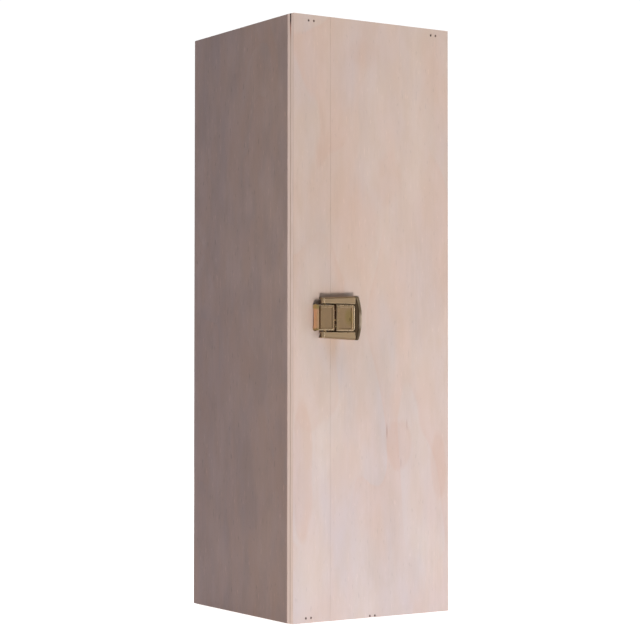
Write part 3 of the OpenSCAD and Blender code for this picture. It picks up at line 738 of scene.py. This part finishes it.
# copper of the rubbed lip, made brighter as a painted reflection of the warm light it faces
copper = brass("copper_and_painted_reflection", tone(0.88, 0.53, 0.31), tone(0.80, 0.50, 0.27),
               tone(0.40, 0.20, 0.08), 0.40, bare=0.70, marks=lip_marks)
nail_metal = brass("brassed_nails", tone(0.66, 0.47, 0.20), tone(0.56, 0.38, 0.15),
                   tone(0.20, 0.12, 0.05), 0.30)
pin_metal = brass("pin_brass", tone(0.60, 0.42, 0.18), tone(0.50, 0.33, 0.14),
                  tone(0.08, 0.05, 0.02), 0.30)
hinge_metal = brass("hinge_brass", tone(0.74, 0.54, 0.25), tone(0.66, 0.46, 0.20),
                    tone(0.30, 0.19, 0.08), 0.33, scratch=0.9)
steel = brass("staple_steel", tone(0.030, 0.018, 0.015), tone(0.018, 0.011, 0.009),
              tone(0.008, 0.005, 0.004), 0.6, bare=0.0)
print("metals ready")

# %% [markdown]
# ## Tools for the pieces
#
# The CAD pieces arrive as loose triangles with knife-sharp edges. A real board has its
# arrises knocked off and a stamping has rolled edges, so the pieces that show are copied,
# merged into clean faces and bevelled. The copy then stands for the CAD piece. An operator
# acts on all that is selected, so the first helper selects one piece alone.


# %% Helper: one piece at a time
def take(piece):
    """Selects one piece alone and makes it active."""
    bpy.ops.object.select_all(action="DESELECT")
    piece.select_set(True)
    bpy.context.view_layer.objects.active = piece


def edit(piece):
    """Opens a piece in edit mode with nothing else selected."""
    take(piece)
    bpy.ops.object.mode_set(mode="EDIT")


def close():
    """Leaves edit mode."""
    bpy.ops.object.mode_set(mode="OBJECT")


def settle():
    """Writes the active piece's place, turn and scale into its mesh."""
    bpy.ops.object.transform_apply(location=True, rotation=True, scale=True)


def begin(add, name, location, scale=(1, 1, 1), **sizes):
    """New piece from a primitive's operator, added with nothing else selected."""
    bpy.ops.object.select_all(action="DESELECT")
    add(location=location, **sizes)
    piece = bpy.context.object
    piece.name = name
    piece.scale = scale
    settle()
    return piece


def shape(piece, kind, **settings):
    """Puts a modifier on a piece, sets it and applies it."""
    take(piece)
    modifier = piece.modifiers.new(kind.lower(), kind)
    for key, value in settings.items():
        setattr(modifier, key, value)
    bpy.ops.object.modifier_apply(modifier=modifier.name)


# %% Helper: copy a CAD piece to the bench
WELD = 0.002 * MM
FLATNESS = math.radians(1)


def bench_copy(node):
    """A separate copy of a CAD piece with its triangles merged into clean faces."""
    mesh = nodes[node].data.copy()
    mesh.materials.clear()
    piece = bpy.data.objects.new(node + "_dressed", mesh)
    bpy.context.scene.collection.objects.link(piece)
    edit(piece)
    bpy.ops.mesh.select_all(action="SELECT")
    bpy.ops.mesh.remove_doubles(threshold=WELD)
    bpy.ops.mesh.dissolve_limited(angle_limit=FLATNESS)
    close()
    return piece


# %% Helper: bevel and finish
def smooth(piece, degrees):
    """Shades a piece smoothly, with creases at the sharper edges and its flats kept flat."""
    take(piece)
    bpy.ops.object.shade_smooth_by_angle(angle=math.radians(degrees))
    shape(piece, "WEIGHTED_NORMAL", keep_sharp=True)


def soften(piece, width, segments=2, degrees=35, worn=False):
    """Bevels every edge sharper than the angle; worn edges take the second finish."""
    shape(piece, "BEVEL", width=width, segments=segments, limit_method="ANGLE",
          angle_limit=math.radians(degrees), use_clamp_overlap=True, material=1 if worn else -1)
    smooth(piece, 40)


def dress(piece, *finishes):
    """Gives a piece its finishes: the first covers it, the others wait for their places."""
    for finish in finishes:
        piece.data.materials.append(finish)


def seat(piece, node, slot_name, *finishes):
    """Gives a piece its finishes and puts it in the place of its CAD node."""
    piece.name = node + "_dressed"
    dress(piece, *finishes)
    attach(piece, nodes[node]["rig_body"])
    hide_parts(node)
    print(node, "dressed with", len(piece.data.polygons), "faces")


# %% [markdown]
# ## Boards
#
# The walls, strips, end pieces and panels come fully shaped from the CAD. They only need
# their arrises softened by a fraction of a millimetre, which is what a pass of fine
# sandpaper leaves, so one loop dresses all of them.

# %% Boards
ARRIS = 0.15 * MM
ARRIS_ANGLE = 60
boards = {
    "base_front_wall": ("pale_wood", front_wood),
    "base_back_wall": ("pale_wood", back_wood),
    "lid_front_strip": ("pale_wood", front_wood),
    "lid_back_strip": ("pale_wood", back_wood),
    "base_top_end": ("end_piece_wood", end_wood),
    "base_bottom_end": ("end_piece_wood", end_wood),
    "lid_top_end": ("end_piece_wood", end_wood),
    "lid_bottom_end": ("end_piece_wood", end_wood),
    "neck_rest": ("pale_wood", rest_wood),
    "lid_panel": ("plywood_panel", lid_ply),
    "base_panel": ("plywood_panel", base_ply),
}
for board, (slot_name, board_finish) in boards.items():
    board_piece = bench_copy(board)
    soften(board_piece, ARRIS, degrees=ARRIS_ANGLE)
    seat(board_piece, board, slot_name, board_finish)

# %% [markdown]
# ## Latch
#
# The latch is pressed from brass sheet in three parts: a foot plate with a channel above
# and below, a lever, and a hook that the lever draws over the parting line. Each is
# modelled by hand round the scene's origin, in millimetres, with X along the wall, -Y out
# of the wall and Z up, and is scaled and moved to its place when it is finished. So a size
# in these cells can be read as it would be on a drawing of the latch.


# %% Sizes of the latch in mm
def middle_of(node, axis):
    """Middle of a CAD piece along x, y or z."""
    low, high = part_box(node)
    return (getattr(low, axis) + getattr(high, axis)) / 2


SHEET = 0.8
LINK_GAP = 0.9
HOOK_TRIM = 0.2
lever_lo, lever_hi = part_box("latch_lever")
hook_lo, hook_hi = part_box("latch_hook")
plate_lo, plate_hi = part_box("latch_plate")
latch_h = (front - lever_lo.y) / MM
plate_under = latch_h - SHEET
lever_half = (lever_hi.z - latch_z) / MM
lever_reach = (lever_hi.x - parting) / MM
hook_half = (hook_hi.z - latch_z) / MM - HOOK_TRIM
hook_reach = (parting - hook_lo.x) / MM
foot_half = (plate_hi.z - latch_z) / MM
foot_reach = (plate_hi.x - parting) / MM
pivot_s = (middle_of("lever_pin", "x") - parting) / MM
pivot_h = (front - middle_of("lever_pin", "y")) / MM
link_h = (front - middle_of("hook_pin", "y")) / MM
print("latch in mm:", round(foot_reach + hook_reach, 1), "x", round(2 * foot_half, 1), "x", round(latch_h, 1))


# %% Helper: a block on the drawing board
def block(name, low, high):
    """Box between two corners, each given as (along, out, up) in mm."""
    along, out, up = ((a + b) / 2 for a, b in zip(low, high))
    spans = [b - a for a, b in zip(low, high)]
    return begin(bpy.ops.mesh.primitive_cube_add, name, (along, -out, up), spans, size=1)


# %% Helper: a round bar or tube along Z
def bar(name, along, out, radius, low, high, bore=0.0, sides=28):
    """Bar round a vertical axis; with a bore it is a tube."""
    piece = begin(bpy.ops.mesh.primitive_cylinder_add, name, (along, -out, (low + high) / 2),
                  vertices=sides, radius=radius, depth=high - low,
                  end_fill_type="NOTHING" if bore else "NGON")
    if bore:
        shape(piece, "SOLIDIFY", thickness=radius - bore, offset=-1)
    return piece


# %% Helper: pick parts of the open piece
NEAR = 0.1
CLOSE = 0.05
FACING = 0.9
SHARP = math.radians(60)


def pick(kind, test):
    """Selects the vertices, faces or sharp edges of the open piece that pass a test.

    A vertex is tested by its place, a face by its middle and normal, and an edge
    by its middle and direction."""
    bpy.ops.mesh.select_mode(type=kind)
    bpy.ops.mesh.select_all(action="DESELECT")
    mesh = bmesh.from_edit_mesh(bpy.context.object.data)
    mesh.normal_update()
    if kind == "VERT":
        chosen = [vertex for vertex in mesh.verts if test(vertex.co)]
    elif kind == "FACE":
        chosen = [face for face in mesh.faces if test(face.calc_center_median(), face.normal)]
    else:
        chosen = []
        for edge in mesh.edges:
            start, end = (vertex.co for vertex in edge.verts)
            sharp = edge.calc_face_angle(0.0) > SHARP
            if sharp and test((start + end) / 2, (end - start).normalized()):
                chosen.append(edge)
    for element in chosen:
        element.select_set(True)
    mesh.select_flush_mode()
    bmesh.update_edit_mesh(bpy.context.object.data)


# %% Helper: count what was made
def show(piece):
    """Prints how many faces a piece has so far."""
    print(piece.name + ":", len(piece.data.polygons), "faces")


# %% Helper: work on the picked parts
# A latch piece's finishes by number: its worn edges, the hook's lip, or the one beside.
EDGE = 1
LIP = 2
BESIDE = -1


def move(along=0.0, out=0.0, up=0.0):
    """Moves the picked parts."""
    bpy.ops.transform.translate(value=(along, -out, up))


def draw_out(along=0.0, out=0.0):
    """Extrudes the picked faces."""
    bpy.ops.mesh.extrude_region_move(TRANSFORM_OT_translate={"value": (along, -out, 0)})


def slice_at(place, normal):
    """Cuts new edges through the picked faces where they meet a plane."""
    bpy.ops.mesh.bisect(plane_co=place, plane_no=normal)


def roll(offset, segments=4, finish=EDGE):
    """Rounds the picked edges and gives the new strip a finish, or the one beside it."""
    bpy.ops.mesh.bevel(offset=offset, segments=segments, affect="EDGES", material=finish)


def press(margin, slope, depth):
    """Presses the picked faces into the sheet inside a margin."""
    bpy.ops.mesh.inset(thickness=margin)
    bpy.ops.mesh.inset(thickness=slope, depth=-depth)


# %% Helper: finishes of the picked faces
SLANTED = 0.3


def finish_picked(finish):
    """Gives the picked faces one of the piece's finishes."""
    bpy.context.object.active_material_index = finish
    bpy.ops.object.material_slot_assign()


def paint_lit_slopes(middle):
    """Gives the left and upper slopes of a pressed panel the edge's finish, as a painted highlight on the
    slopes the light falls on.
    """
    pick("FACE", lambda mid, out: out.y < -SLANTED
         and (out.x > SLANTED and mid.x < middle or out.z < -SLANTED))
    finish_picked(EDGE)


# %% Helper: join, mirror and fasten
def join(first, *others):
    """Joins finished shells into one piece."""
    take(first)
    for shell in others:
        shell.select_set(True)
    bpy.ops.object.join()
    return first


def mirror_down(piece):
    """Adds the lower twin of what lies above the latch's middle."""
    shape(piece, "MIRROR", use_axis=(False, False, True))


def fasten(piece, node, slot_name):
    """Shades a finished latch piece, brings it to its real size and place and seats it."""
    smooth(piece, 42)
    piece.scale = (MM, MM, MM)
    piece.location = (parting, front, latch_z)
    settle()
    seat(piece, node, slot_name)


# %% [markdown]
# ### The lever
#
# The lever is one pressing: a plate with rolled edges and a shallow pressed panel, two webs
# turned down behind it that reach to the pivot, and small barrels at its left edge for the
# pin it shares with the hook. The plate could be drawn as an outline and extruded, but a
# block is quicker: two round corners, a groove, a panel pressed from each side and a roll
# round the edges give all of it.

# %% Lever plate and groove
CORNER = 1.8
TRIM = 0.25
GROOVE = 1.45
GROOVE_SLOPE = 0.3
GROOVE_DEPTH = 0.22
GROOVE_MARGIN = 1.5
PANEL_END = CORNER + 0.2
plate_half = lever_half - TRIM
panel_right = lever_reach - PANEL_END
lever = block("lever", (LINK_GAP, plate_under, -plate_half), (lever_reach, latch_h, plate_half))
dress(lever, antique, rubbed)
edit(lever)
pick("EDGE", lambda mid, way: mid.x > lever_reach - NEAR and abs(way.y) > FACING)
roll(CORNER, 7, BESIDE)
for back_from_end in (GROOVE - GROOVE_SLOPE, GROOVE, PANEL_END):
    bpy.ops.mesh.select_all(action="SELECT")
    slice_at((lever_reach - back_from_end, 0, 0), (1, 0, 0))
for side in (-1, 1):
    pick("FACE", lambda mid, out: out.y < -FACING and mid.x > panel_right)
    slice_at((0, 0, side * (plate_half - GROOVE_MARGIN)), (0, 0, 1))
pick("VERT", lambda co: abs(co.x - lever_reach + GROOVE) < CLOSE and co.y < -latch_h + NEAR
     and abs(co.z) < plate_half - GROOVE_MARGIN + NEAR)
move(out=-GROOVE_DEPTH)
close()
show(lever)

# %% Lever panel and rolled edges
PANEL_SLOPE = 0.35
PANEL_DEPTH = 0.35
PANEL_MARGIN = 1.6
PANEL_SHIFT = 1.1
BACK_MARGIN = 1.5
BACK_RISE = 0.2
FLAT_ON = 0.99
LEVER_ROLL = 0.72
SLOT_ROLL = 0.18
HAIR = 0.01
edit(lever)
pick("FACE", lambda mid, out: out.y < -FLAT_ON and mid.x < panel_right)
press(PANEL_MARGIN, PANEL_SLOPE, PANEL_DEPTH)
pick("VERT", lambda co: 0.5 < panel_right - co.x < PANEL_MARGIN + 2 * PANEL_SLOPE
     and co.y < -latch_h + PANEL_DEPTH + NEAR)
move(along=PANEL_SHIFT)
# painted highlight on the panel's lit slopes
paint_lit_slopes(lever_reach / 2)
pick("FACE", lambda mid, out: out.y > FACING and mid.x < panel_right)
press(BACK_MARGIN, PANEL_SLOPE, -BACK_RISE)
pick("EDGE", lambda mid, way: mid.y < -latch_h + HAIR and mid.x > LINK_GAP + NEAR)
roll(LEVER_ROLL, 5)
pick("EDGE", lambda mid, way: mid.x < LINK_GAP + CLOSE and abs(way.z) > FACING)
roll(SLOT_ROLL, 2)
close()
show(lever)

# %% Lever webs
WEB_INSET = 2.3
WEB_UNDER_PIVOT = 0.9
WEB_UNDER_LINK = 0.85
WEB_STEPS = (0.45, 1.3, 2.6)
WEB_SINK = 0.05
WEB_TIP = 0.1
WEB_HEEL = 0.45
WEB_EDGE = 0.12
PIVOT_BARREL = 1.0
PIVOT_BORE = 0.55
web_in = lever_half - WEB_INSET
web_low = pivot_h - WEB_UNDER_PIVOT
web_top = link_h - WEB_UNDER_LINK
web = block("web", (pivot_s, web_low, web_in), (LINK_GAP, web_top, web_in + SHEET))
edit(web)
for run in WEB_STEPS:
    pick("FACE", lambda mid, out: out.x > FACING)
    draw_out(along=run)
pick("VERT", lambda co: co.x > LINK_GAP + WEB_STEPS[0] - CLOSE and co.y < -web_top + NEAR)
move(out=plate_under + WEB_SINK - web_top)
pick("VERT", lambda co: co.x > LINK_GAP + sum(WEB_STEPS) - CLOSE and co.y > -web_low - NEAR)
move(out=plate_under - web_low - WEB_TIP)
pick("VERT", lambda co: co.x < pivot_s + NEAR and co.y < -web_top + NEAR)
move(out=WEB_HEEL)
close()
shape(web, "BEVEL", width=WEB_EDGE, segments=2)
web = join(web, bar("pivot_barrel", pivot_s, pivot_h, PIVOT_BARREL, web_in, lever_half, bore=PIVOT_BORE))
mirror_down(web)
dress(web, antique, rubbed)
show(web)

# %% Barrels of the shared pin
BARREL = 0.60
BARREL_BORE = 0.44
TONGUE = 0.35
TONGUE_LAP = 0.3
LEVER_BARRELS = ((-4.4, -2.0), (-1.0, 4.4))


def link_barrel(toward, low, high):
    """Barrel round the shared pin with the tongue of sheet that carries it."""
    tube = bar("link_barrel", 0, link_h, BARREL, low, high, bore=BARREL_BORE, sides=20)
    reach = sorted((0.0, toward * (LINK_GAP + TONGUE_LAP)))
    tongue = block("tongue", (reach[0], link_h - BARREL, low), (reach[1], link_h - BARREL + TONGUE, high))
    made = join(tube, tongue)
    # the barrels take the painted shade of the slot, with their patina
    dress(made, patina_and_slot_shade)
    return made


lever = join(lever, web, *[link_barrel(1, *span) for span in LEVER_BARRELS])
fasten(lever, "latch_lever", "antique_brass")

# %% [markdown]
# ### The hook
#
# The hook is a plate whose left end turns down to the wall and pulls on the keeper. Its
# bend is spun: the end face is swept a quarter turn about the bend's axis, and the lip is
# the same face pushed on towards the wall. The lip's edge is not straight, because the
# press lets it spread at the corners, so its loops of vertices are moved after the cuts.

# %% Hook plate and bend
BEND_OUT = 1.25
HOOK_MARGIN = 1.35
bend_s = -hook_reach + BEND_OUT
bend_h = latch_h - BEND_OUT
hook = block("hook", (bend_s, plate_under, -hook_half), (-LINK_GAP, latch_h, hook_half))
dress(hook, antique, rubbed, copper)
edit(hook)
pick("FACE", lambda mid, out: out.y < -FACING)
press(HOOK_MARGIN, PANEL_SLOPE, PANEL_DEPTH)
# painted highlight on the panel's lit slopes
paint_lit_slopes(-hook_reach / 2)
pick("FACE", lambda mid, out: out.x < -FACING)
bpy.ops.mesh.spin(steps=6, angle=math.radians(90), center=(bend_s, -bend_h, 0), axis=(0, 0, 1))
close()
print("after the spin the hook reaches", round(-min(v.co.x for v in hook.data.vertices), 2))

# %% Hook lip
LIP_LIFT = 0.5
LIP_CORNER = 1.6
LIP_STEPS = 6
LIP_CUTS = 16
PAST_BEND = 0.3
lip_len = bend_h - LIP_LIFT
edit(hook)
for _ in range(LIP_STEPS):
    pick("FACE", lambda mid, out: out.y > FACING and mid.x < bend_s - PAST_BEND)
    draw_out(out=-lip_len / LIP_STEPS)
pick("EDGE", lambda mid, way: abs(way.x) > FACING and mid.y > -LIP_LIFT - HAIR)
roll(LIP_CORNER, 6, BESIDE)
for cut in range(1, LIP_CUTS):
    pick("FACE", lambda mid, out: mid.x < bend_s - HAIR)
    slice_at((0, 0, -hook_half + cut * 2 * hook_half / LIP_CUTS), (0, 0, 1))
close()
show(hook)

# %% Arch and spread of the lip
ARCH = 0.95
ARCH_SHARE = 0.78
SPREAD = 0.45
for vertex in hook.data.vertices:
    if vertex.co.x > bend_s - PAST_BEND:
        continue
    down = min(1, max(0, (vertex.co.y + bend_h) / lip_len))
    across = abs(vertex.co.z) / hook_half
    bulge = SPREAD * math.sin(math.pi * min(1, down * 1.1)) * across ** 4
    vertex.co.y -= ARCH * down * max(0, 1 - (across / ARCH_SHARE) ** 4)
    vertex.co.z += math.copysign(bulge, vertex.co.z)
print("lip arched by", ARCH, "mm")

# %% Rolled edges and finish of the hook
HOOK_ROLL = 0.66
LIP_ROLL = 0.2
LIP_WIDTH = 0.9
BEND_START = 0.2
HOOK_BARRELS = ((4.6, 8.1), (-8.1, -4.6))
edit(hook)
pick("EDGE", lambda mid, way: mid.y < -latch_h + HAIR and mid.x < -LINK_GAP - NEAR)
roll(HOOK_ROLL)
pick("EDGE", lambda mid, way: mid.x > -LINK_GAP - CLOSE and abs(way.z) > FACING)
roll(SLOT_ROLL, 2)
pick("EDGE", lambda mid, way: mid.x < bend_s - BEND_START)
roll(LIP_ROLL, 2, LIP)
pick("FACE", lambda mid, out: mid.x < -hook_reach + LIP_WIDTH)
finish_picked(LIP)
close()
hook = join(hook, *[link_barrel(-1, *span) for span in HOOK_BARRELS])
fasten(hook, "latch_hook", "coppery_brass")

# %% [markdown]
# ### The foot plate
#
# The foot's right end is a shallow arc with a bead along it, and the lever lies between two
# channels. The foot is a disc that five planes cut down, and the bead is a flattened ring
# cut to the same arc. A channel is an open box of faces that gets its wall from Solidify,
# which keeps the sheet the same thickness round every bend, as the real pressing does.

# %% Foot
ARC_R = 39.3
ARC_STEPS = 720
BEAD_LAP = 0.3
FOOT_IN = 1.0
WING_REACH = 16.1
WING_FLARE = 0.05
FLARE_TRIM = 0.15
TIPPED = (math.radians(90), 0, 0)
arc_s = foot_reach - ARC_R


def cut_away(piece, place, outward):
    """Cuts off what lies outside a plane and closes the cut."""
    edit(piece)
    bpy.ops.mesh.select_all(action="SELECT")
    bpy.ops.mesh.bisect(plane_co=place, plane_no=outward, use_fill=True, clear_outer=True)
    close()


foot = begin(bpy.ops.mesh.primitive_cylinder_add, "foot", (arc_s, -SHEET / 2, 0), vertices=ARC_STEPS,
             radius=ARC_R - BEAD_LAP, depth=SHEET, rotation=TIPPED)
cut_away(foot, (FOOT_IN, 0, 0), (-1, 0, 0))
for side in (-1, 1):
    cut_away(foot, (WING_REACH, 0, side * (foot_half - FLARE_TRIM)), (-WING_FLARE, 0, side))
    cut_away(foot, (0, 0, side * foot_half), (0, 0, side))
dress(foot, antique, rubbed)
show(foot)

# %% Bead
RIM_R = 0.70
RIM_W = 1.05
RIM_SINK = 0.05
RIM_FROM = 11.0
RIM_SHORT = 0.4
rim = begin(bpy.ops.mesh.primitive_torus_add, "rim", (arc_s, -RIM_R - RIM_SINK, 0), (1, 1, RIM_R / RIM_W),
            major_radius=ARC_R - RIM_W, minor_radius=RIM_W, major_segments=ARC_STEPS,
            minor_segments=20, rotation=TIPPED)
cut_away(rim, (RIM_FROM, 0, 0), (-1, 0, 0))
for side in (-1, 1):
    cut_away(rim, (0, 0, side * (foot_half - RIM_SHORT)), (0, 0, side))
dress(rim, bead_metal, rubbed)
show(rim)

# %% Channels beside the lever
CHEEK = lever_half + 0.35
WING_WIDTH = 3.7
WING_TOP = pivot_h + 1.0
WING_ROLL = 0.85
WING_START = 0.2
WING_SHEET = 0.6
WALL_LOW = 0.45
OUTER_ROLL = 1.1
INNER_ROLL = 0.3
CORNER_ROLL = 0.5
wing_end = CHEEK + WING_WIDTH
outer_side = CHEEK + 1
wing_left = (plate_lo.x - parting) / MM + WING_ROLL + WING_START
wing = block("wing", (wing_left, WALL_LOW, CHEEK), (WING_REACH, WING_TOP, wing_end))
dress(wing, wing_metal, rubbed)
edit(wing)
pick("VERT", lambda co: co.x > WING_REACH - NEAR and co.z > outer_side)
move(up=foot_half - CHEEK - WING_WIDTH)
pick("FACE", lambda mid, out: out.y > FACING or out.x < -FACING)
bpy.ops.mesh.delete(type="FACE")
pick("EDGE", lambda mid, way: mid.y < -WING_TOP + NEAR
     and mid.z > outer_side and mid.x < WING_REACH - 1)
roll(OUTER_ROLL, 5, BESIDE)
pick("EDGE", lambda mid, way: mid.y < -WING_TOP + NEAR)
roll(INNER_ROLL, 3)
pick("EDGE", lambda mid, way: abs(way.y) > FACING)
roll(CORNER_ROLL)
close()
shape(wing, "SOLIDIFY", thickness=WING_SHEET, offset=-1)
show(wing)

# %% Rolled ends and ribs of the channels
ROLL_BORE = 0.45
RIB_R = 0.32
RIB_IN = 1.1
RIB_SINK = 0.1
RIB_ENDS = (0.15, 0.35)
RIB_ROUND = 0.2
wing_roll = bar("wing_roll", wing_left, WING_TOP - WING_ROLL, WING_ROLL, CHEEK, wing_end, bore=ROLL_BORE)
dress(wing_roll, wing_metal, rubbed)
rib = bar("wing_rib", wing_left + RIB_IN, WING_TOP - RIB_SINK, RIB_R, CHEEK + RIB_ENDS[0],
          wing_end - RIB_ENDS[1], sides=16)
edit(rib)
pick("EDGE", lambda mid, way: True)
roll(RIB_ROUND, 3, BESIDE)
close()
dress(rib, rubbed, rubbed)
wing = join(wing, wing_roll, rib)
mirror_down(wing)
foot = join(foot, rim, wing)
fasten(foot, "latch_plate", "antique_brass")

# %% [markdown]
# ## Keeper, hinges and small fittings
#
# The keeper is the small angle that the hook pulls on, and two butt hinges sit on the back.
# Their CAD shapes are complete but for rolled edges and the round corners of the leaves.
# Nails, pins and staples are too small to gain from a bevel: they keep the CAD's shape and
# only get their metal.

# %% Keeper
KEEPER_WEAR = 0.12 * MM
keeper = bench_copy("keeper")
soften(keeper, KEEPER_WEAR, 3, worn=True)
seat(keeper, "keeper", "antique_brass", antique, rubbed)

# %% Hinge leaves
LEAF_CORNER = 1.6 * MM
LEAF_WEAR = 0.16 * MM
for level in ("upper", "lower"):
    for half in ("base", "lid"):
        leaf = level + "_hinge_" + half + "_leaf"
        leaf_piece = bench_copy(leaf)
        outer = max(abs(v.co.x - parting) for v in leaf_piece.data.vertices)
        edit(leaf_piece)
        pick("EDGE", lambda mid, way: abs(way.y) > FACING
             and abs(mid.x - parting) > outer - NEAR * MM)
        roll(LEAF_CORNER, 5, BESIDE)
        close()
        soften(leaf_piece, LEAF_WEAR, worn=True)
        seat(leaf_piece, leaf, "hinge_brass", hinge_metal, rubbed)


# %% Small fittings
def paint(finish, *fittings):
    """Gives CAD pieces that keep their own shape their finish."""
    for fitting in fittings:
        for material_slot in nodes[fitting].material_slots:
            material_slot.material = finish
    print(finish.name, "on", len(fittings), "fittings")


paint(nail_metal, "latch_plate_nails", "keeper_nails", "hinge_base_nails", "hinge_lid_nails")
paint(pin_metal, "lever_pin", "hook_pin", "upper_hinge_pin", "lower_hinge_pin")
paint(steel, "base_staples", "lid_staples")
